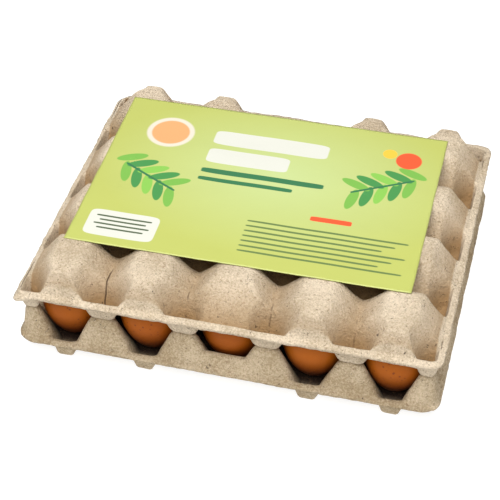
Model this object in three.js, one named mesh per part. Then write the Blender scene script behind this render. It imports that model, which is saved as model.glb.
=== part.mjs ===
// A closed pack of twenty hen's eggs: a moulded pulp tray, the same kind of tray turned over as its
// lid, the eggs between them and a printed paper label lying on the lid.
// Millimetres, +Z up. The origin is on the ground under the middle, and the front faces -Y.

import * as THREE from 'three';

// The grid of cells. Posts stand where four cells meet, on lines half a pitch from the cell middles.
const COLUMNS = 5;
const ROWS = 4;
const PITCH = 55;

// Heights of the closed pack above the ground
const PACK_HEIGHT = 72.6;
const MEETING_HEIGHT = 37.6;
const CLEARANCE = 0.3;

// The pulp sheet, and the plan of its rim: the sheet ends in a steep wall, then a flat flange
const PULP = 2.3;
const FLANGE_CORNER = 11.5;
const WALL_X = 134;
const WALL_Y = 108.4;
const WALL_DRAFT = 2.6;

// Hollow posts: cones, seen from the outside of the tray, with a flat tip
const POST_FOOT_RADIUS = 22.5;
const POST_TIP_RADIUS = 6.6;
const SIDE_POST_TIP_RADIUS = 9.5;
const POST_RINGS = [6.4, 16.5, 22.8];
const SIDE_TIP_RING = 10.4;

// Saddles between neighbouring cells, and the slopes that close the outer cells
const SADDLE_HEIGHT = 16.5;
const SADDLE_WIDTH = 17;
const SADDLE_CREST = 1.5;
const SIDE_SLOPE = 1.2;
const SIDE_SLOPE_START = 120;
const BLEND = 3;

// What differs between the two trays: height of the post tips, half the flange's length and depth,
// its level above the cell bottoms, how far its outer edge turns away from them, where the flat bottoms
// of the front and back cells end, and how steeply and from where the middle ones of these rise
const LOWER = {
  tip: MEETING_HEIGHT - PULP,
  edgeX: 142,
  edgeY: 117.2,
  flange: 13.7,
  turn: -2.2,
  bottomEnd: 111.5,
  middleSlope: 1.5,
  middleStart: 93.5,
};
const UPPER = {
  tip: PACK_HEIGHT - MEETING_HEIGHT - CLEARANCE - PULP,
  edgeX: 140,
  edgeY: 116.2,
  flange: 19,
  turn: 1.6,
  bottomEnd: 105.5,
  middleSlope: 0.92,
  middleStart: 84.5,
};

// Eggs of the middle size class, blunt end up
const EGG_LENGTH = 57;
const EGG_BREADTH = 44;
const EGG_TAPER = 0.15;
const EGG_SIDES = 10;
const EGG_STEPS = 8;
const EGG_LIFT = 3.4;
const EGG_LEAN = 0.03;
const EGG_SPREAD = 0.015;
const FRONT_SHIFT = 4.8;
const MIDDLE_SHIFT = 2;
const SIDE_SHIFT = 1.3;

// The label: a paper card, a little off the middle and a little turned
const LABEL_LENGTH = 230.5;
const LABEL_DEPTH = 162;
const LABEL_THICKNESS = 0.4;
const LABEL_X = -2.9;
const LABEL_Y = 5.7;
const LABEL_TURN = 0.01;

const pulp = (color) => new THREE.MeshStandardMaterial({ color, roughness: 0.95, metalness: 0 });
const shell = (color) => new THREE.MeshStandardMaterial({ color, roughness: 0.55, metalness: 0 });
const paper = new THREE.MeshStandardMaterial({ color: 0xd6df7d, roughness: 0.45, metalness: 0 });

// The larger of two heights, rounded where they cross
function smoothMax(a, b) {
  const near = Math.max(BLEND - Math.abs(a - b), 0) / BLEND;
  return Math.max(a, b) + (near * near * BLEND) / 4;
}

// How far a point is from the nearest line of posts
function toPostLine(value, offset) {
  const steps = (value - offset) / PITCH;
  return Math.abs(steps - Math.round(steps)) * PITCH;
}

const saddle = (away) => SADDLE_HEIGHT * (1 - Math.hypot(away, SADDLE_CREST) / SADDLE_WIDTH);

// Height of the sheet's outer face above the cell bottoms
function sheetHeight(x, y, tray) {
  const across = toPostLine(x, PITCH / 2);
  const along = toPostLine(y, 0);
  const outerColumn = Math.abs(x) > ((COLUMNS - 1) * PITCH) / 2;
  const outerRow = Math.abs(y) > ((ROWS - 1) * PITCH) / 2;
  const middleColumn = Math.abs(x) < PITCH / 2;
  const tipRadius = outerColumn ? SIDE_POST_TIP_RADIUS : POST_TIP_RADIUS;
  const flare = (POST_FOOT_RADIUS - tipRadius) / tray.tip;
  const cone = (POST_FOOT_RADIUS - Math.hypot(across, along)) / flare;
  let height = smoothMax(0, cone);
  height = smoothMax(height, outerColumn ? SIDE_SLOPE * (Math.abs(x) - SIDE_SLOPE_START) : saddle(across));
  if (!outerRow) {
    height = smoothMax(height, saddle(along));
  } else if (middleColumn) {
    height = smoothMax(height, tray.middleSlope * (Math.abs(y) - tray.middleStart));
  }
  return Math.min(height, tray.tip);
}

// The lines of the sheet's net along one axis, from edge to edge. Round each post they are rings.
function netLines(cells, wall, edge, tipRing) {
  const last = (cells * PITCH) / 2;
  const lines = [];
  for (let post = PITCH - last; post <= last - PITCH; post += PITCH) {
    for (const ring of POST_RINGS) lines.push({ at: post - ring }, { at: post + ring });
    lines.push({ at: post });
  }
  for (const side of [-1, 1]) {
    for (const ring of [tipRing, POST_RINGS[1], POST_RINGS[2]]) lines.push({ at: side * (last - ring) });
    lines.push({ at: side * wall });
    lines.push({ at: side * (wall + WALL_DRAFT), flange: true });
    lines.push({ at: side * edge, flange: true, edge: true });
  }
  return lines.sort((a, b) => a.at - b.at);
}

// Draws the square net round each post into circles, fading out towards the cell middles
function roundPosts(x, y) {
  const postX = Math.round((x - PITCH / 2) / PITCH) * PITCH + PITCH / 2;
  const postY = Math.round(y / PITCH) * PITCH;
  const across = x - postX;
  const along = y - postY;
  const ring = Math.max(Math.abs(across), Math.abs(along));
  const distance = Math.hypot(across, along);
  if (distance === 0) return [x, y];
  const fade = (ring / (PITCH / 2)) ** 2;
  const pull = THREE.MathUtils.lerp(ring / distance, 1, fade);
  return [postX + across * pull, postY + along * pull];
}

// Rounds the four corners of the plan
function roundCorner(x, y, tray) {
  const beyondX = Math.abs(x) - (tray.edgeX - FLANGE_CORNER);
  const beyondY = Math.abs(y) - (tray.edgeY - FLANGE_CORNER);
  if (beyondX <= 0 || beyondY <= 0) return [x, y];
  const pull = Math.max(beyondX, beyondY) / Math.hypot(beyondX, beyondY);
  return [
    Math.sign(x) * (tray.edgeX - FLANGE_CORNER + beyondX * pull),
    Math.sign(y) * (tray.edgeY - FLANGE_CORNER + beyondY * pull),
  ];
}

// How far the front or back wall moves at this x: cell bottoms end elsewhere than posts do
function wallShift(x, row, tray) {
  if (Math.abs(row.at) < WALL_Y || row.edge) return 0;
  const depth = 1 - Math.min(sheetHeight(x, WALL_Y, tray) / tray.flange, 1);
  const shift = depth * (tray.bottomEnd - WALL_Y);
  return Math.sign(row.at) * (row.flange ? Math.max(shift / 2, 0) : shift);
}

// The outer face of a tray as a net of points
function trayNet(tray) {
  const columns = netLines(COLUMNS, WALL_X, tray.edgeX, SIDE_TIP_RING);
  const rows = netLines(ROWS, WALL_Y, tray.edgeY, POST_RINGS[0]);
  return rows.map((row) =>
    columns.map((column) => {
      const flange = row.flange || column.flange;
      const wall = Math.abs(row.at) === WALL_Y || Math.abs(column.at) === WALL_X;
      const onRim = flange || wall;
      const [x, y] = onRim ? roundCorner(column.at, row.at, tray) : roundPosts(column.at, row.at);
      const level = tray.flange + (row.edge || column.edge ? tray.turn : 0);
      return new THREE.Vector3(x, y + wallShift(x, row, tray), flange ? level : sheetHeight(x, y, tray));
    }),
  );
}

// Two triangles for each mesh of the net, split along the diagonal that keeps closer to the sheet
function netTriangles(net, tray) {
  const width = net[0].length;
  const triangles = [];
  for (let j = 0; j < net.length - 1; j += 1) {
    for (let i = 0; i < width - 1; i += 1) {
      const [a, b, c, d] = [j * width + i, j * width + i + 1, (j + 1) * width + i + 1, (j + 1) * width + i];
      const first = net[j][i].clone().lerp(net[j + 1][i + 1], 0.5);
      const second = net[j][i + 1].clone().lerp(net[j + 1][i], 0.5);
      const away = (middle) => Math.abs(middle.z - sheetHeight(middle.x, middle.y, tray));
      if (away(first) <= away(second)) triangles.push([a, b, c], [a, c, d]);
      else triangles.push([a, b, d], [b, c, d]);
    }
  }
  return triangles;
}

// Makes a tray: gives its net the pulp's thickness on the upper side, and closes it round the edge
function trayGeometry(tray) {
  const net = trayNet(tray);
  const outer = net.flat();
  const triangles = netTriangles(net, tray);
  const faces = outer.map(() => []);
  for (const [a, b, c] of triangles) {
    const normal = outer[b].clone().sub(outer[a]).cross(outer[c].clone().sub(outer[a])).normalize();
    for (const corner of [a, b, c]) faces[corner].push(normal);
  }
  const inner = outer.map((point, k) => {
    const mean = faces[k].reduce((sum, normal) => sum.add(normal), new THREE.Vector3()).normalize();
    const share = faces[k].reduce((sum, normal) => sum + normal.dot(mean), 0) / faces[k].length;
    const moved = point.clone().addScaledVector(mean, PULP / Math.max(share, 0.6));
    return moved.setZ(Math.min(moved.z, tray.tip + PULP));
  });
  const count = outer.length;
  const width = net[0].length;
  const index = triangles.flatMap(([a, b, c]) => [a, c, b, a + count, b + count, c + count]);
  const rim = [];
  for (let i = 0; i < width; i += 1) rim.push(i);
  for (let j = 1; j < net.length; j += 1) rim.push(j * width + width - 1);
  for (let i = width - 2; i >= 0; i -= 1) rim.push(count - width + i);
  for (let j = net.length - 2; j > 0; j -= 1) rim.push(j * width);
  rim.forEach((a, k) => {
    const b = rim[(k + 1) % rim.length];
    index.push(a, b, b + count, a, b + count, a + count);
  });
  const geometry = new THREE.BufferGeometry().setFromPoints([...outer, ...inner]);
  geometry.setIndex(index);
  return geometry;
}

// An egg standing on its pointed end, which is at the origin
function eggGeometry(length, breadth) {
  const profile = [];
  for (let k = 0; k <= EGG_STEPS; k += 1) {
    const angle = (Math.PI * k) / EGG_STEPS;
    const radius = (breadth / 2) * Math.sin(angle) * (1 - EGG_TAPER * Math.cos(angle));
    profile.push(new THREE.Vector2(Math.max(radius, 0), (length / 2) * (1 - Math.cos(angle))));
  }
  profile[0].x = 0;
  profile[EGG_STEPS].x = 0;
  return new THREE.LatheGeometry(profile, EGG_SIDES).rotateX(Math.PI / 2);
}

// A repeatable run of numbers from -1 to 1
function makeUneven(seed) {
  let state = seed;
  return () => {
    state = (state * 16807) % 2147483647;
    return (state / 2147483647) * 2 - 1;
  };
}

function named(name, geometry, material) {
  const mesh = new THREE.Mesh(geometry, material);
  mesh.name = name;
  return mesh;
}

function makeEggs() {
  const uneven = makeUneven(20);
  const eggs = new THREE.Group();
  for (let row = 0; row < ROWS; row += 1) {
    for (let column = 0; column < COLUMNS; column += 1) {
      const size = 1 + EGG_SPREAD * uneven();
      const egg = named(
        `egg_${row + 1}_${column + 1}`,
        eggGeometry(EGG_LENGTH * size, EGG_BREADTH * size),
        shell(0xb8703a),
      );
      const outwards = row === 0 ? -1 : Number(row === ROWS - 1);
      const sloped = column === (COLUMNS - 1) / 2 && outwards !== 0;
      const inwards = Number(column === 0) - Number(column === COLUMNS - 1);
      const x = (column - (COLUMNS - 1) / 2) * PITCH + inwards * SIDE_SHIFT + uneven() / 2;
      const y = (row - (ROWS - 1) / 2) * PITCH + outwards * (sloped ? MIDDLE_SHIFT : FRONT_SHIFT);
      egg.position.set(x, y, EGG_LIFT);
      egg.rotation.set(EGG_LEAN * uneven(), EGG_LEAN * uneven(), Math.PI * uneven());
      eggs.add(egg);
    }
  }
  return eggs;
}

function makeLid() {
  const lid = named('lid', trayGeometry(UPPER), pulp(0xd9c6a8));
  lid.rotation.x = Math.PI;
  lid.position.z = PACK_HEIGHT;
  return lid;
}

function makeLabel() {
  const label = named('label', new THREE.BoxGeometry(LABEL_LENGTH, LABEL_DEPTH, LABEL_THICKNESS), paper);
  label.position.set(LABEL_X, LABEL_Y, PACK_HEIGHT + CLEARANCE + LABEL_THICKNESS / 2);
  label.rotation.z = LABEL_TURN;
  return label;
}

const pack = new THREE.Group();
pack.add(named('tray', trayGeometry(LOWER), pulp(0xcbb594)));
pack.add(makeEggs());
pack.add(makeLid());
pack.add(makeLabel());

export default pack;
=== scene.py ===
import math

import bmesh
import bpy
import numpy as np
from mathutils import Matrix, Vector, noise


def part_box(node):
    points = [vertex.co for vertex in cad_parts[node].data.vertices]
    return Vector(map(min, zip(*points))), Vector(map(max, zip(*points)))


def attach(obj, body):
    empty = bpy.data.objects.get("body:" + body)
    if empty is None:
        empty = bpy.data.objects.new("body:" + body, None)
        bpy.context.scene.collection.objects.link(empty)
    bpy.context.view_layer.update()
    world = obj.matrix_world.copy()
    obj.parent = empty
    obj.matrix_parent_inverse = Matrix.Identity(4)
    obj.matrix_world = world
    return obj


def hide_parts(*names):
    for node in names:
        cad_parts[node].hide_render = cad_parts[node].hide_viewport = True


# A closed pack of twenty hen's eggs: a moulded pulp tray, the same kind of tray turned over as its lid,
# and a printed paper label. Sizes are in millimetres, except where a comment says otherwise, and the
# scene is in metres, with +Z up and the front of the pack towards -Y.
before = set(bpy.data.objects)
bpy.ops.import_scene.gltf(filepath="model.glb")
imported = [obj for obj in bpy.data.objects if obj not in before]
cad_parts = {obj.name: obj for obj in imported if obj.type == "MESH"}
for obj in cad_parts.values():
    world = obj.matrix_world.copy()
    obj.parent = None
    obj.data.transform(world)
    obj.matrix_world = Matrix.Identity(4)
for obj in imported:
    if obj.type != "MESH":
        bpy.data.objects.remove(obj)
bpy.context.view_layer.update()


# The moulded sheet. Both trays are paper pulp sucked onto a wire mould: hollow conical posts between
# the cells, low saddles between the posts, and a steep wall with a flat flange round the outside.
MM = 0.001
COLUMNS = 5
ROWS = 4
PITCH = 55
PULP = 2.3
WALL_X = 134
WALL_Y = 108.4
POST_FOOT_RADIUS = 22.5
POST_TIP_RADIUS = 6.6
SIDE_POST_TIP_RADIUS = 9.5
SADDLE_HEIGHT = 16.5
SADDLE_WIDTH = 17
SADDLE_CREST = 1.5
SIDE_SLOPE = 1.2
SIDE_SLOPE_START = 120
BLEND = 2
PACK_HEIGHT = 72.6
MEETING_HEIGHT = 37.6
CLEARANCE = 0.3

# Where the two trays differ, with heights from the cell bottoms: the flange's edges at the left and the
# right and at the front and back, the radii of its corners, left before right and low y before high y,
# how far one corner droops, how far the wall slants, the flange's height and how far its edge turns,
# how far out the cell bottoms reach, the slope that ends the middle column, and the cells' doming.
LOWER = {
    "tip": MEETING_HEIGHT - PULP,
    "edges_x": (141.2, 140.2),
    "edge_y": 116.3,
    "corners": (11.5, 11.5, 11.5, 11.5),
    "lip": 0,
    "draft": 3.8,
    "flange": 13.7,
    "turn": -2.2,
    "bottom_end": 111.5,
    "middle_slope": 1.5,
    "middle_start": 93.5,
    "crown": 0,
}
UPPER = {
    "tip": PACK_HEIGHT - MEETING_HEIGHT - CLEARANCE - PULP,
    "edges_x": (140, 141.6),
    "edge_y": 116.2,
    "corners": (16, 9, 4, 9),
    "lip": 5.4,
    "draft": 2.6,
    "flange": 19,
    "turn": 1.6,
    "bottom_end": 105.5,
    "middle_slope": 0.92,
    "middle_start": 84.5,
    "crown": 0.004,
}


def smooth_max(a, b):
    """The larger of two heights, rounded where they cross."""
    near = max(BLEND - abs(a - b), 0) / BLEND
    return max(a, b) + near * near * BLEND / 4


def to_line(value, offset):
    """How far a point is from the nearest of the lines that lie a pitch apart, moved by the offset."""
    steps = (value - offset) / PITCH
    return abs(steps - round(steps)) * PITCH


def sheet_height(x, y, tray):
    """Height of the sheet's outer face above the cell bottoms."""
    across = to_line(x, PITCH / 2)
    along = to_line(y, 0)
    outer_column = abs(x) > (COLUMNS - 1) * PITCH / 2
    outer_row = abs(y) > (ROWS - 1) * PITCH / 2
    tip_radius = SIDE_POST_TIP_RADIUS if outer_column else POST_TIP_RADIUS
    flare = (POST_FOOT_RADIUS - tip_radius) / tray["tip"]
    bottom = tray["crown"] * (to_line(x, 0) ** 2 + to_line(y, PITCH / 2) ** 2)
    height = smooth_max(bottom, (POST_FOOT_RADIUS - math.hypot(across, along)) / flare)
    saddles = [
        SADDLE_HEIGHT * (1 - math.hypot(away, SADDLE_CREST) / SADDLE_WIDTH)
        for away in (across, along)
    ]
    if outer_column:
        saddles[0] = SIDE_SLOPE * (abs(x) - SIDE_SLOPE_START)
    if outer_row:
        saddles[1] = tray["middle_slope"] * (abs(y) - tray["middle_start"]) if abs(x) < PITCH / 2 else 0
    for saddle in saddles:
        height = smooth_max(height, saddle)
    return min(height, tray["tip"])


def round_corner(x, y, tray):
    """Rounds the four corners of the plan, each with its own radius."""
    radius = tray["corners"][int(x > 0) + 2 * int(y > 0)]
    edge_x = tray["edges_x"][int(x > 0)]
    beyond_x = abs(x) - (edge_x - radius)
    beyond_y = abs(y) - (tray["edge_y"] - radius)
    if beyond_x <= 0 or beyond_y <= 0:
        return x, y
    pull = max(beyond_x, beyond_y) / math.hypot(beyond_x, beyond_y)
    return (
        math.copysign(edge_x - radius + beyond_x * pull, x),
        math.copysign(tray["edge_y"] - radius + beyond_y * pull, y),
    )


def ease(share):
    """From 0 to 1 with a soft start and a soft end."""
    share = min(max(share, 0), 1)
    return share * share * (3 - 2 * share)


def waver(point, size, seed):
    """A wandering value from about -1 to 1, with waves of the given size."""
    return noise.noise(Vector(point) / size + Vector((seed, seed * 1.7, 0)))


def unevenness(point, waves, seed):
    """The sum of several waves, each with a size, a height and the layer of the noise that it reads."""
    return sum(
        height * waver(Vector(point) + Vector((0, 0, layer)), size, seed)
        for size, height, layer in waves
    )


# Lines of the net in one half of the plan: close together near the wall, up it and on the flange
HALF_LINES_X = 118
HALF_LINES_Y = 99
NEAR_WALL = 9
NEAR_LINES = 11
WALL_LINES = 12
FLANGE_LINES = 4


def plan_line(share, lines, wall, draft, edge):
    """Where a line of the net lies, how far up the wall it is and how far out on the flange."""
    line = abs(share) * lines
    foot = lines - WALL_LINES - FLANGE_LINES
    counts = (0, foot - NEAR_LINES, foot, foot + WALL_LINES, lines)
    at = np.interp(line, counts, (0, wall - NEAR_WALL, wall, wall + draft, edge))
    up = np.interp(line, (foot, foot + WALL_LINES), (0, 1))
    out = np.interp(line, (foot + WALL_LINES, lines), (0, 1))
    return math.copysign(at, share), up, out


# How the edge departs from a straight box: the ends of the front and back cells lie a little off the
# wall's line, the lid's front left corner droops and leans out, and the flange is uneven. A wave is its
# size, its height and the layer of the noise that it reads.
SHIFT_REACH = 14
LIP_REACH = 18
LIP_LEAN = 0.3
EDGE_TRIM = 0.45
EDGE_WAVES = ((22, 0.45, 0), (4, 0.4, 0))
FLANGE_WAVES = ((30, 0.6, 9), (6, 0.3, 5))


def moulded_point(share_x, share_y, tray, seed):
    """A point of the sheet's outer face: the shape of the mould with an uneven edge."""
    edge_x = tray["edges_x"][int(share_x > 0)]
    x, up_x, out_x = plan_line(share_x, HALF_LINES_X, WALL_X, tray["draft"], edge_x)
    y, up_y, out_y = plan_line(share_y, HALF_LINES_Y, WALL_Y, tray["draft"], tray["edge_y"])
    up = max(up_x, up_y)
    out = max(out_x, out_y)
    inside_x = math.copysign(min(abs(x), WALL_X), x)
    foot = sheet_height(inside_x, math.copysign(min(abs(y), WALL_Y), y), tray)
    z = foot + (tray["flange"] - foot) * up + tray["turn"] * out
    depth = 1 - min(sheet_height(inside_x, WALL_Y, tray) / tray["flange"], 1)
    shift = depth * (tray["bottom_end"] - WALL_Y) * ease((abs(y) - WALL_Y + SHIFT_REACH) / SHIFT_REACH)
    shift = (shift * (1 - up_y) + max(shift / 2, 0) * up_y) * (1 - out_y)
    side_x = math.copysign(1, x)
    side_y = math.copysign(1, y)
    x, y = round_corner(x, y, tray)
    from_corner = math.hypot(x + tray["edges_x"][0], y - tray["edge_y"])
    lip = out * tray["lip"] * ease(1 - from_corner / LIP_REACH)
    x -= LIP_LEAN * lip
    z += lip
    trimmed = max(EDGE_TRIM + unevenness((x, y, 0), EDGE_WAVES, seed), 0)
    x -= side_x * out_x * trimmed
    y += side_y * (shift - out_y * trimmed)
    return Vector((x, y, z + out * unevenness((x, y, 0), FLANGE_WAVES, seed)))


# How far out of the light a point lies, for the material. It changes over 1 mm at the crease of the
# lower flange and at the lid's wall.
SHADE_REACH = 12
SHADE_DEPTH = 26
FLANGE_SHADE = 0.13


def shade_of_point(x, y, z, tray):
    """From 0 to 1: in behind the lower tray's wall or, on the lid, down between the domes."""
    behind_wall = min(WALL_X - abs(x), WALL_Y - abs(y))
    if tray is LOWER:
        return max(ease(behind_wall / SHADE_REACH), FLANGE_SHADE * ease(-behind_wall - tray["draft"]))
    return min(z / SHADE_DEPTH, 1) * min(max(1 + behind_wall, 0), 1)


def finished(name, bm):
    """The object that a bmesh becomes, smooth, with its place in its mesh."""
    for face in bm.faces:
        face.smooth = True
    mesh = bpy.data.meshes.new(name)
    bm.to_mesh(mesh)
    bm.free()
    piece = bpy.data.objects.new(name, mesh)
    bpy.context.scene.collection.objects.link(piece)
    return piece


def thicken(piece, thickness):
    """Gives a sheet its thickness, on the side that its faces look to."""
    solidify = piece.modifiers.new("thickness", "SOLIDIFY")
    solidify.thickness = thickness * MM
    solidify.offset = 1


# The lumps of the face, which fade towards the tips so that these stay flat
FACE_WAVES = ((16, 0.42, 0), (5, 0.22, 0))
TIP_FADE = 3


def moulded_sheet(name, tray, seed):
    """A tray as pulp comes off the mould: soft edges, an uneven face, one thickness."""
    bm = bmesh.new()
    bmesh.ops.create_grid(bm, x_segments=2 * HALF_LINES_X, y_segments=2 * HALF_LINES_Y, size=1)
    for vert in bm.verts:
        vert.co = moulded_point(vert.co.x, vert.co.y, tray, seed)
    bmesh.ops.smooth_vert(
        bm,
        verts=[vert for vert in bm.verts if not vert.is_boundary],
        factor=0.5,
        use_axis_x=True,
        use_axis_y=True,
        use_axis_z=True,
    )
    bm.normal_update()
    shade = bm.verts.layers.float.new("shade")
    for vert in bm.verts:
        vert[shade] = shade_of_point(*vert.co, tray)
        lump = unevenness(vert.co, FACE_WAVES, seed)
        vert.co += vert.normal * lump * min((tray["tip"] - vert.co.z) / TIP_FADE, 1)
        vert.co.z = min(max(vert.co.z, 0), tray["tip"])
    bmesh.ops.scale(bm, vec=(MM, MM, MM), verts=bm.verts)
    piece = finished(name, bm)
    thicken(piece, PULP)
    return piece


def colour(code):
    """A hex colour as Blender's linear colour."""
    parts = [int(code[place:place + 2], 16) / 255 for place in (1, 3, 5)]
    return (*[part / 12.92 if part <= 0.04045 else ((part + 0.055) / 1.055) ** 2.4 for part in parts], 1)


def per(size):
    """The texture scale that gives a pattern of the given size."""
    return 1 / (size * MM)


def add(tree, kind, inputs=None, **settings):
    """Adds a node with its settings. An input is a value or the socket that feeds it, under its name
    or, where names repeat, its number: of a mix of colours 0 is the share, 6 and 7 are the colours."""
    node = tree.nodes.new(kind)
    for name, value in settings.items():
        setattr(node, name, value)
    for name, value in (inputs or {}).items():
        if isinstance(value, bpy.types.NodeSocket):
            tree.links.new(value, node.inputs[name])
        else:
            node.inputs[name].default_value = value
    return node


def new_material(name):
    """A new material, its tree and its principled shader."""
    material = bpy.data.materials.new(name)
    material.use_nodes = True
    tree = material.node_tree
    return material, tree, tree.nodes["Principled BSDF"]


# The line that the mould's seam leaves in the valley between two cells: where it starts to show, from
# the middle of the pack, how wide it is, how far it wanders, and up to where at the left it may crack
SEAM_START = 80
SEAM_FADE = 8
SEAM_OUTER_WIDTH = 0.55
SEAM_INNER_WIDTH = 0.15
SEAM_WANDER = 1.6
CRACK_END = -70


# Moulded paper pulp, from newsprint and brown board: matt, warm grey-beige, cloudy where the fibres
# settled unevenly, with brown and near-black specks and a rough, felted face.
def pulp_material(name, light, dark, deep, seam_shade, crack_shade, seam_end):
    material, tree, shader = new_material(name)
    place = add(tree, "ShaderNodeTexCoord").outputs["Object"]

    # Clouds and mottling of the fibre itself
    clouds = add(tree, "ShaderNodeTexNoise", {"Vector": place, "Scale": per(28), "Detail": 3})
    mottle = add(
        tree,
        "ShaderNodeTexNoise",
        {"Vector": place, "Scale": per(1.3), "Detail": 4, "Roughness": 0.65},
    )
    blend = add(
        tree,
        "ShaderNodeMath",
        {0: clouds.outputs["Fac"], 1: 0.7, 2: mottle.outputs["Fac"]},
        operation="MULTIPLY_ADD",
    )
    share = add(tree, "ShaderNodeMapRange", {"Value": blend.outputs[0], "From Min": 0.7, "From Max": 1})
    ground = add(
        tree,
        "ShaderNodeMix",
        {0: share.outputs[0], 6: colour(dark), 7: colour(light)},
        data_type="RGBA",
    )

    # Painted shade: faces that look up are browner where they lie deep, out of the light
    shade = add(tree, "ShaderNodeAttribute", attribute_name="shade")
    face = add(tree, "ShaderNodeNewGeometry")
    lean = add(tree, "ShaderNodeSeparateXYZ", {"Vector": face.outputs["Normal"]})
    upper = add(
        tree,
        "ShaderNodeMapRange",
        {"Value": lean.outputs["Z"], "From Min": -0.15, "From Max": 0.15},
    )
    depth = add(
        tree,
        "ShaderNodeMath",
        {0: shade.outputs["Fac"], 1: upper.outputs[0]},
        operation="MULTIPLY",
    )
    painted_shading = add(
        tree,
        "ShaderNodeMix",
        {0: depth.outputs[0], 6: ground.outputs[2], 7: colour(deep)},
        data_type="RGBA",
    )

    # Flecks of darker paper of no set shape, common and pale ones and then rare and dark ones
    paint = painted_shading.outputs[2]
    for size, low, strength, fleck_colour in ((1.5, 0.61, 0.5, "#7D5F40"), (2.3, 0.69, 0.8, "#3A2A1C")):
        field = add(
            tree,
            "ShaderNodeTexNoise",
            {"Vector": place, "Scale": per(size), "Detail": 1.5, "Distortion": 1.2},
        )
        fleck = add(
            tree,
            "ShaderNodeMapRange",
            {"Value": field.outputs["Fac"], "From Min": low, "From Max": low + 0.06, "To Max": strength},
        )
        over = add(
            tree,
            "ShaderNodeMix",
            {0: fleck.outputs[0], 6: paint, 7: colour(fleck_colour)},
            data_type="RGBA",
        )
        paint = over.outputs[2]

    # The seam line, near the long sides only, with gaps, and without them where it is cracked open
    split = add(tree, "ShaderNodeSeparateXYZ", {"Vector": place})
    wander = add(tree, "ShaderNodeTexNoise", {"Vector": place, "Scale": per(9), "Detail": 2})
    bent = add(
        tree,
        "ShaderNodeMath",
        {0: wander.outputs["Fac"], 1: SEAM_WANDER * MM, 2: split.outputs["X"]},
        operation="MULTIPLY_ADD",
    )
    moved = add(
        tree,
        "ShaderNodeMath",
        {0: bent.outputs[0], 1: (PITCH + SEAM_WANDER) / 2 * MM},
        operation="SUBTRACT",
    )
    away = add(tree, "ShaderNodeMath", {0: moved.outputs[0], 1: PITCH / 2 * MM}, operation="PINGPONG")
    line = add(
        tree,
        "ShaderNodeMapRange",
        {"Value": away.outputs[0], "From Min": SEAM_OUTER_WIDTH * MM, "From Max": SEAM_INNER_WIDTH * MM},
    )
    reach = add(tree, "ShaderNodeMath", {0: split.outputs["Y"]}, operation="ABSOLUTE")
    outer = add(
        tree,
        "ShaderNodeMapRange",
        {"Value": reach.outputs[0], "From Min": SEAM_START * MM, "From Max": (SEAM_START + SEAM_FADE) * MM},
    )
    inner = add(tree, "ShaderNodeMath", {0: reach.outputs[0], 1: seam_end * MM}, operation="LESS_THAN")
    near = add(tree, "ShaderNodeMath", {0: outer.outputs[0], 1: inner.outputs[0]}, operation="MULTIPLY")
    gaps = add(
        tree,
        "ShaderNodeMapRange",
        {"Value": wander.outputs["Fac"], "From Min": 0.43, "From Max": 0.6, "To Max": seam_shade},
    )
    crack = add(
        tree,
        "ShaderNodeMapRange",
        {
            "Value": split.outputs["X"],
            "From Min": CRACK_END * MM,
            "From Max": (CRACK_END + 1) * MM,
            "To Min": crack_shade,
            "To Max": 0,
        },
    )
    mark = add(tree, "ShaderNodeMath", {0: gaps.outputs[0], 1: crack.outputs[0]}, operation="MAXIMUM")
    kept = add(tree, "ShaderNodeMath", {0: near.outputs[0], 1: mark.outputs[0]}, operation="MULTIPLY")
    seam = add(tree, "ShaderNodeMath", {0: line.outputs[0], 1: kept.outputs[0]}, operation="MULTIPLY")
    seamed = add(
        tree,
        "ShaderNodeMix",
        {0: seam.outputs[0], 6: paint, 7: colour("#5E4630")},
        data_type="RGBA",
    )
    tree.links.new(seamed.outputs[2], shader.inputs["Base Color"])

    # Felted relief: lumps of a few millimetres and a finer grain, drawn a little coarse so that it
    # shows, with the seam cut into it
    lumps = add(tree, "ShaderNodeTexNoise", {"Vector": place, "Scale": per(4), "Detail": 2})
    grain = add(
        tree,
        "ShaderNodeTexNoise",
        {"Vector": place, "Scale": per(1.5), "Detail": 4, "Roughness": 0.7},
    )
    both = add(
        tree,
        "ShaderNodeMath",
        {0: lumps.outputs["Fac"], 1: 0.6, 2: grain.outputs["Fac"]},
        operation="MULTIPLY_ADD",
    )
    cut = add(
        tree,
        "ShaderNodeMath",
        {0: seam.outputs[0], 1: -1.2, 2: both.outputs[0]},
        operation="MULTIPLY_ADD",
    )
    relief = add(tree, "ShaderNodeBump", {"Height": cut.outputs[0], "Strength": 1, "Distance": 2.2 * MM})
    tree.links.new(relief.outputs[0], shader.inputs["Normal"])
    shader.inputs["Roughness"].default_value = 0.92
    shader.inputs["IOR"].default_value = 1.45
    return material


# The lower tray, cell bottoms down. The pack stands on the flat ends of its cells. Its pulp is painted a
# little greyer than the lid's, as painted shade, with a faint seam and no crack.
tray = moulded_sheet("pulp_tray", LOWER, 3)
# Its third colour, near black, is painted shade in behind its wall and in a band on its flange.
tray.data.materials.append(pulp_material("tray pulp painted shaded", "#D3C0A2", "#A89270", "#2E190A", 0.14, 0, 115))
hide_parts("tray")
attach(tray, "root")


# The lid is another tray turned over, so that its cell bottoms are the domes. It lies on the posts
# of the lower one, tip on tip, and isn't fixed to it. It has cracked at the seam nearest its left end.
# Its pulp is painted lighter and paler than the tray's, as painted light on its top.
lid = moulded_sheet("pulp_lid", UPPER, 11)
lid.data.transform(Matrix.Translation((0, 0, PACK_HEIGHT * MM)) @ Matrix.Rotation(math.pi, 4, "X"))
# Its third colour is painted shade down between the domes.
lid.data.materials.append(pulp_material("lid pulp painted lit", "#E2D1B8", "#BBA88C", "#A5845A", 0.42, 0.8, 108))
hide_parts("lid")
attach(lid, "root")


# The eggs: brown hen's eggs of the middle size, standing on their pointed ends between the posts. They
# rest in the cells and aren't fixed.
EGG_LENGTH = 57
EGG_BREADTH = 44
EGG_TAPER = 0.15
EGG_RINGS = 30
EGG_SIDES = 48
SAME_POINT = 0.01


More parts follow.
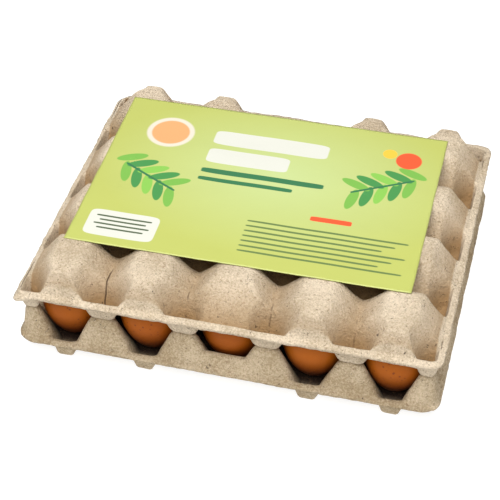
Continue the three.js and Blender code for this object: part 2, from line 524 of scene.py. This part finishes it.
def egg(node, material):
    """An egg turned from half its outline, as large as its solid and in the same place."""
    low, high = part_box(node)
    length = high.z - low.z
    breadth = length * EGG_BREADTH / EGG_LENGTH
    bm = bmesh.new()
    outline = []
    for ring in range(EGG_RINGS + 1):
        angle = math.pi * ring / EGG_RINGS
        radius = breadth / 2 * math.sin(angle) * (1 - EGG_TAPER * math.cos(angle))
        outline.append(bm.verts.new((radius, 0, -length / 2 * math.cos(angle))))
    edges = [bm.edges.new(pair) for pair in zip(outline, outline[1:])]
    bmesh.ops.spin(
        bm,
        geom=outline + edges,
        cent=(0, 0, 0),
        axis=(0, 0, 1),
        angle=2 * math.pi,
        steps=EGG_SIDES,
        use_merge=True,
    )
    bmesh.ops.remove_doubles(bm, verts=bm.verts, dist=SAME_POINT * MM)
    bmesh.ops.recalc_face_normals(bm, faces=bm.faces)
    bmesh.ops.translate(bm, vec=(low + high) / 2, verts=bm.verts)
    piece = finished(f"shell_{node}", bm)
    piece.data.materials.append(material)
    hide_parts(node)
    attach(piece, "root")


# Brown eggshell: calcite with a thin dull cuticle, satin, tinted a little differently from egg to egg,
# with fine pores and, on some eggs, darker freckles. Pores and mist are drawn coarser than they are.
def eggshell_material():
    material, tree, shader = new_material("brown eggshell")
    place = add(tree, "ShaderNodeTexCoord").outputs["Object"]

    # The tint of each egg, from a pattern about as coarse as the eggs' spacing
    each = add(tree, "ShaderNodeTexNoise", {"Vector": place, "Scale": per(65), "Detail": 0})
    tone = add(
        tree,
        "ShaderNodeMapRange",
        {"Value": each.outputs["Fac"], "From Min": 0.35, "From Max": 0.65},
    )
    ground = add(
        tree,
        "ShaderNodeMix",
        {0: tone.outputs[0], 6: colour("#954905"), 7: colour("#A15307")},
        data_type="RGBA",
    )

    # Painted shade: browner from 36 mm above the ground down to 16 mm, where the egg sits in its dark cell
    height = add(tree, "ShaderNodeSeparateXYZ", {"Vector": place})
    low = add(
        tree,
        "ShaderNodeMapRange",
        {"Value": height.outputs["Z"], "From Min": 36 * MM, "From Max": 16 * MM},
        interpolation_type="SMOOTHSTEP",
    )
    painted_low_shade = add(
        tree,
        "ShaderNodeMix",
        {0: low.outputs[0], 6: ground.outputs[2], 7: colour("#5A2604")},
        data_type="RGBA",
    )

    # A mist of paler pigment
    mist = add(
        tree,
        "ShaderNodeTexNoise",
        {"Vector": place, "Scale": per(1.6), "Detail": 4, "Roughness": 0.7},
    )
    pale = add(
        tree,
        "ShaderNodeMapRange",
        {"Value": mist.outputs["Fac"], "From Min": 0.5, "From Max": 0.8, "To Max": 0.3},
    )
    misted = add(
        tree,
        "ShaderNodeMix",
        {0: pale.outputs[0], 6: painted_low_shade.outputs[2], 7: colour("#AB641C")},
        data_type="RGBA",
    )

    # Freckles, in patches that only some eggs have
    cells = add(tree, "ShaderNodeTexVoronoi", {"Vector": place, "Scale": per(3.6)})
    dots = add(
        tree,
        "ShaderNodeMapRange",
        {"Value": cells.outputs["Distance"], "From Min": 0.27, "From Max": 0.12},
    )
    patches = add(
        tree,
        "ShaderNodeTexNoise",
        {"Vector": place, "W": 6, "Scale": per(48), "Detail": 0},
        noise_dimensions="4D",
    )
    where = add(
        tree,
        "ShaderNodeMapRange",
        {"Value": patches.outputs["Fac"], "From Min": 0.5, "From Max": 0.6, "To Max": 0.85},
    )
    freckles = add(
        tree,
        "ShaderNodeMath",
        {0: dots.outputs[0], 1: where.outputs[0]},
        operation="MULTIPLY",
    )
    freckled = add(
        tree,
        "ShaderNodeMix",
        {0: freckles.outputs[0], 6: misted.outputs[2], 7: colour("#6B3313")},
        data_type="RGBA",
    )
    tree.links.new(freckled.outputs[2], shader.inputs["Base Color"])

    pores = add(tree, "ShaderNodeTexNoise", {"Vector": place, "Scale": per(0.8), "Detail": 3})
    relief = add(tree, "ShaderNodeBump", {"Height": pores.outputs["Fac"], "Distance": 0.05 * MM})
    tree.links.new(relief.outputs[0], shader.inputs["Normal"])
    shader.inputs["Roughness"].default_value = 0.5
    shader.inputs["IOR"].default_value = 1.5
    shader.inputs["Specular IOR Level"].default_value = 0.14
    return material


eggshell = eggshell_material()
for row in range(ROWS):
    for column in range(COLUMNS):
        egg(f"egg_{row + 1}_{column + 1}", eggshell)


# The label: a sheet of coated paper that lies loose on the domes, sagging a little between them,
# with slightly wavy edges. It is a little off the middle and turned by a hundredth of a radian.
LABEL_TURN = 0.01
LABEL_X = -2.9
LABEL_Y = 5.7
LABEL_LENGTH = 230.5
LABEL_DEPTH = 162
LABEL_TOP = PACK_HEIGHT + 0.7
PAPER = 0.3
SAG = 0.35
TRIM_WAVE = 9
TRIM_HEIGHT = 0.5
COCKLE_WAVE = 35
COCKLE_HEIGHT = 0.1
LABEL_SEED = 5


def label_sheet():
    """The paper, trimmed, sagging and cockled, turned and moved to its place."""
    bm = bmesh.new()
    bmesh.ops.create_grid(bm, x_segments=144, y_segments=100, size=1)
    for vert in bm.verts:
        share_x, share_y = vert.co.x, vert.co.y
        trim = TRIM_HEIGHT * abs(waver((share_x * 40, share_y * 30, 2), TRIM_WAVE, LABEL_SEED))
        x = share_x * (LABEL_LENGTH / 2 - trim * abs(share_x))
        y = share_y * (LABEL_DEPTH / 2 - trim * abs(share_y))
        turn_x = 2 * math.pi * (x + LABEL_X) / PITCH
        turn_y = 2 * math.pi * (y + LABEL_Y) / PITCH
        over_dome = (math.cos(turn_x) - math.cos(turn_y)) / 4 + 0.5
        cockle = COCKLE_HEIGHT * (1 + waver((x, y, 0), COCKLE_WAVE, LABEL_SEED))
        vert.co = Vector((x, y, LABEL_TOP - PAPER - SAG * (1 - over_dome) - cockle)) * MM
    turn = Matrix.Rotation(LABEL_TURN, 3, "Z")
    bmesh.ops.rotate(bm, cent=(0, 0, 0), matrix=turn, verts=bm.verts)
    bmesh.ops.translate(bm, vec=(LABEL_X * MM, LABEL_Y * MM, 0), verts=bm.verts)
    piece = finished("paper_label", bm)
    thicken(piece, PAPER)
    return piece


# The prints, each as x, y, half length, half depth, turn and ink, from the middle of the label. The
# rounded ones are ellipses: the leaves of two sprigs, a sun, two dots. The squared ones are the stems
# and the bars. A sprig has a root, with 1 or -1 for the way that it faces, and turns in radians.
INKS = {
    "light leaf": "#6FA544",
    "dark leaf": "#3F8443",
    "bright leaf": "#7CB24A",
    "deep green": "#2F6B44",
    "white": "#C9C9BE",
    "cream": "#CFC8B6",
    "apricot": "#DE9A66",
    "red": "#D8512B",
    "yellow": "#E0B23A",
    "grey": "#4D5A42",
    "olive": "#5F7340",
}
SPRIG_ROOTS = ((-96, 4, 1), (97, 30, -1))
SPRIG_LEAVES = ("light leaf", "dark leaf", "bright leaf", "dark leaf", "light leaf")
SPRIG_MIDDLE = (len(SPRIG_LEAVES) - 1) / 2
SPRIG_FALL = 0.5
STEM_SIZE = (23, 0.9)
LEAF_SIZE = (11, 3.6)
LEAF_STEP = (9, -5)
LEAF_OPENING = 0.9
LEAF_FROM_STEM = 8

rounded = []
squared = []
for root_x, root_y, facing in SPRIG_ROOTS:
    stem_x = root_x + facing * LEAF_STEP[0] * SPRIG_MIDDLE
    stem_y = root_y + LEAF_STEP[1] * SPRIG_MIDDLE
    squared.append((stem_x, stem_y, *STEM_SIZE, -facing * SPRIG_FALL, "deep green"))
    for step, ink in enumerate(SPRIG_LEAVES):
        for side in (-1, 1):
            leaf_x = root_x + facing * LEAF_STEP[0] * step
            leaf_y = root_y + LEAF_STEP[1] * step + side * LEAF_FROM_STEM
            turn = facing * (LEAF_OPENING * side - SPRIG_FALL)
            rounded.append((leaf_x, leaf_y, *LEAF_SIZE, turn, ink))
rounded += [
    (-78, 46, 17, 17, 0, "cream"),
    (-78, 46, 13.5, 13.5, 0, "apricot"),
    (92, 52, 9, 9, 0, "red"),
    (78, 57, 5, 5, 0, "yellow"),
]
squared += [
    (-5, 48, 41, 8, 0, "white"),
    (-17, 27, 29, 8, 0, "white"),
    (-3, 10, 43, 2.6, 0, "deep green"),
    (-13, 1, 33, 2, 0, "deep green"),
    (-82, -60, 24, 13, 0, "white"),
    (52, -24, 14, 2.4, 0, "red"),
]
for line in range(4):
    indent = 3 * (line % 2)
    squared.append((-82, -53 - 4 * line, 19 - indent, 0.8, 0, "grey"))
for line in range(7):
    indent = 4 * (line % 3)
    squared.append((52 - indent, -36 - 5 * line, 54 - indent, 0.9, 0, "olive"))


# Coated paper printed in flat inks on a yellow-green ground, paler in the middle. It is smooth, with a
# slight gloss, and cockles a little.
def label_material():
    material, tree, shader = new_material("printed coated paper")
    place = add(tree, "ShaderNodeTexCoord").outputs["Object"]
    flat = add(
        tree,
        "ShaderNodeMapping",
        {"Vector": place, "Location": (LABEL_X * MM, LABEL_Y * MM, 0), "Rotation": (0, 0, LABEL_TURN)},
        vector_type="TEXTURE",
    ).outputs[0]
    glow = add(
        tree,
        "ShaderNodeMapping",
        {
            "Vector": flat,
            "Location": (10 * MM, 15 * MM, PACK_HEIGHT * MM),
            "Scale": (130 * MM, 85 * MM, 1),
        },
        vector_type="TEXTURE",
    )
    from_middle = add(tree, "ShaderNodeVectorMath", {0: glow.outputs[0]}, operation="LENGTH")
    paint = add(
        tree,
        "ShaderNodeMix",
        {0: from_middle.outputs["Value"], 6: colour("#B2C081"), 7: colour("#A9AF5A")},
        data_type="RGBA",
    ).outputs[2]

    # In a print's own frame its edge is where the powers of x and y add up to 1: the second powers for
    # an ellipse, and after two doublings the eighth for a bar with rounded corners
    for prints, doublings in ((rounded, 0), (squared, 2)):
        for x, y, half_length, half_depth, turn, ink in prints:
            spot = add(
                tree,
                "ShaderNodeMapping",
                {
                    "Vector": flat,
                    "Location": (x * MM, y * MM, 0),
                    "Rotation": (0, 0, turn),
                    "Scale": (half_length * MM, half_depth * MM, 1),
                },
                vector_type="TEXTURE",
            )
            power = add(
                tree,
                "ShaderNodeVectorMath",
                {0: spot.outputs[0], 1: (1, 1, 0)},
                operation="MULTIPLY",
            )
            for _ in range(doublings):
                twice = {0: power.outputs[0], 1: power.outputs[0]}
                power = add(tree, "ShaderNodeVectorMath", twice, operation="MULTIPLY")
            twice = {0: power.outputs[0], 1: power.outputs[0]}
            reach = add(tree, "ShaderNodeVectorMath", twice, operation="DOT_PRODUCT")
            inked = add(
                tree,
                "ShaderNodeMapRange",
                {"Value": reach.outputs["Value"], "From Min": 1.08, "From Max": 0.92},
            )
            over = add(
                tree,
                "ShaderNodeMix",
                {0: inked.outputs[0], 6: paint, 7: colour(INKS[ink])},
                data_type="RGBA",
            )
            paint = over.outputs[2]
    tree.links.new(paint, shader.inputs["Base Color"])

    cockle = add(tree, "ShaderNodeTexNoise", {"Vector": place, "Scale": per(22), "Detail": 1})
    relief = add(tree, "ShaderNodeBump", {"Height": cockle.outputs["Fac"], "Distance": 0.6 * MM})
    tree.links.new(relief.outputs[0], shader.inputs["Normal"])
    shader.inputs["Roughness"].default_value = 0.38
    shader.inputs["IOR"].default_value = 1.5
    return material


label = label_sheet()
label.data.materials.append(label_material())
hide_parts("label")
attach(label, "root")


# The studio, in metres: a pale floor that glows a little so that it stays white, a white room round
# it, a large soft light overhead and a smaller one in front.
FLOOR_SIZE = 6
FLOOR_GAP = 0.0001


def studio_floor():
    """A square floor, a hair below the pack so that their faces don't coincide."""
    bm = bmesh.new()
    bmesh.ops.create_grid(bm, x_segments=1, y_segments=1, size=FLOOR_SIZE / 2)
    bmesh.ops.translate(bm, vec=(0, 0, -FLOOR_GAP), verts=bm.verts)
    piece = finished("studio_floor", bm)
    material, _, shader = new_material("matt white floor")
    shader.inputs["Base Color"].default_value = colour("#8E8D89")
    shader.inputs["Roughness"].default_value = 0.9
    shader.inputs["Emission Color"].default_value = (1, 1, 1, 1)
    shader.inputs["Emission Strength"].default_value = 0.85
    piece.data.materials.append(material)


def soft_light(name, position, size, power):
    """A square lamp that looks at the pack, with its power in watts."""
    lamp = bpy.data.lights.new(name, "AREA")
    lamp.size = size
    lamp.energy = power
    holder = bpy.data.objects.new(name, lamp)
    holder.location = position
    holder.rotation_euler = (-Vector(position)).to_track_quat("-Z", "Y").to_euler()
    bpy.context.scene.collection.objects.link(holder)


studio_floor()
soft_light("overhead_light", (-0.02, -0.42, 1.4), 1.5, 36)
soft_light("front_light", (0.3, -1.5, 1.2), 0.9, 5)
room = bpy.data.worlds.new("white_room")
room.use_nodes = True
room.node_tree.nodes["Background"].inputs["Color"].default_value = (1, 1, 1, 1)
room.node_tree.nodes["Background"].inputs["Strength"].default_value = 0.35
bpy.context.scene.world = room
bpy.context.scene.view_settings.view_transform = "Standard"


# The camera, where the photograph was taken from: above the front and round to the right, a metre
# from a point in the pack, with its turns fitted to the corners of the domes and the posts.
TURN = math.radians(14.33)
RISE = math.radians(41.37)
ROLL = -0.003364
LOOK_AT = Vector((-4.8, -22.82, 40.53)) * MM
DISTANCE = 1.0541
FOCAL_LENGTH = 111.4
SENSOR_WIDTH = 36

ahead = Vector((-math.sin(TURN) * math.cos(RISE), math.cos(TURN) * math.cos(RISE), -math.sin(RISE)))
level = Vector((math.cos(TURN), math.sin(TURN), 0))
upright = level.cross(ahead)
right = math.cos(ROLL) * level + math.sin(ROLL) * upright
up = math.cos(ROLL) * upright - math.sin(ROLL) * level
camera = bpy.data.cameras.new("camera")
camera.lens = FOCAL_LENGTH
camera.sensor_width = SENSOR_WIDTH
viewpoint = bpy.data.objects.new("camera", camera)
facing_pack = Matrix((right, up, -ahead)).transposed().to_4x4()
viewpoint.matrix_world = Matrix.Translation(LOOK_AT - ahead * DISTANCE) @ facing_pack
bpy.context.scene.collection.objects.link(viewpoint)
bpy.context.scene.camera = viewpoint
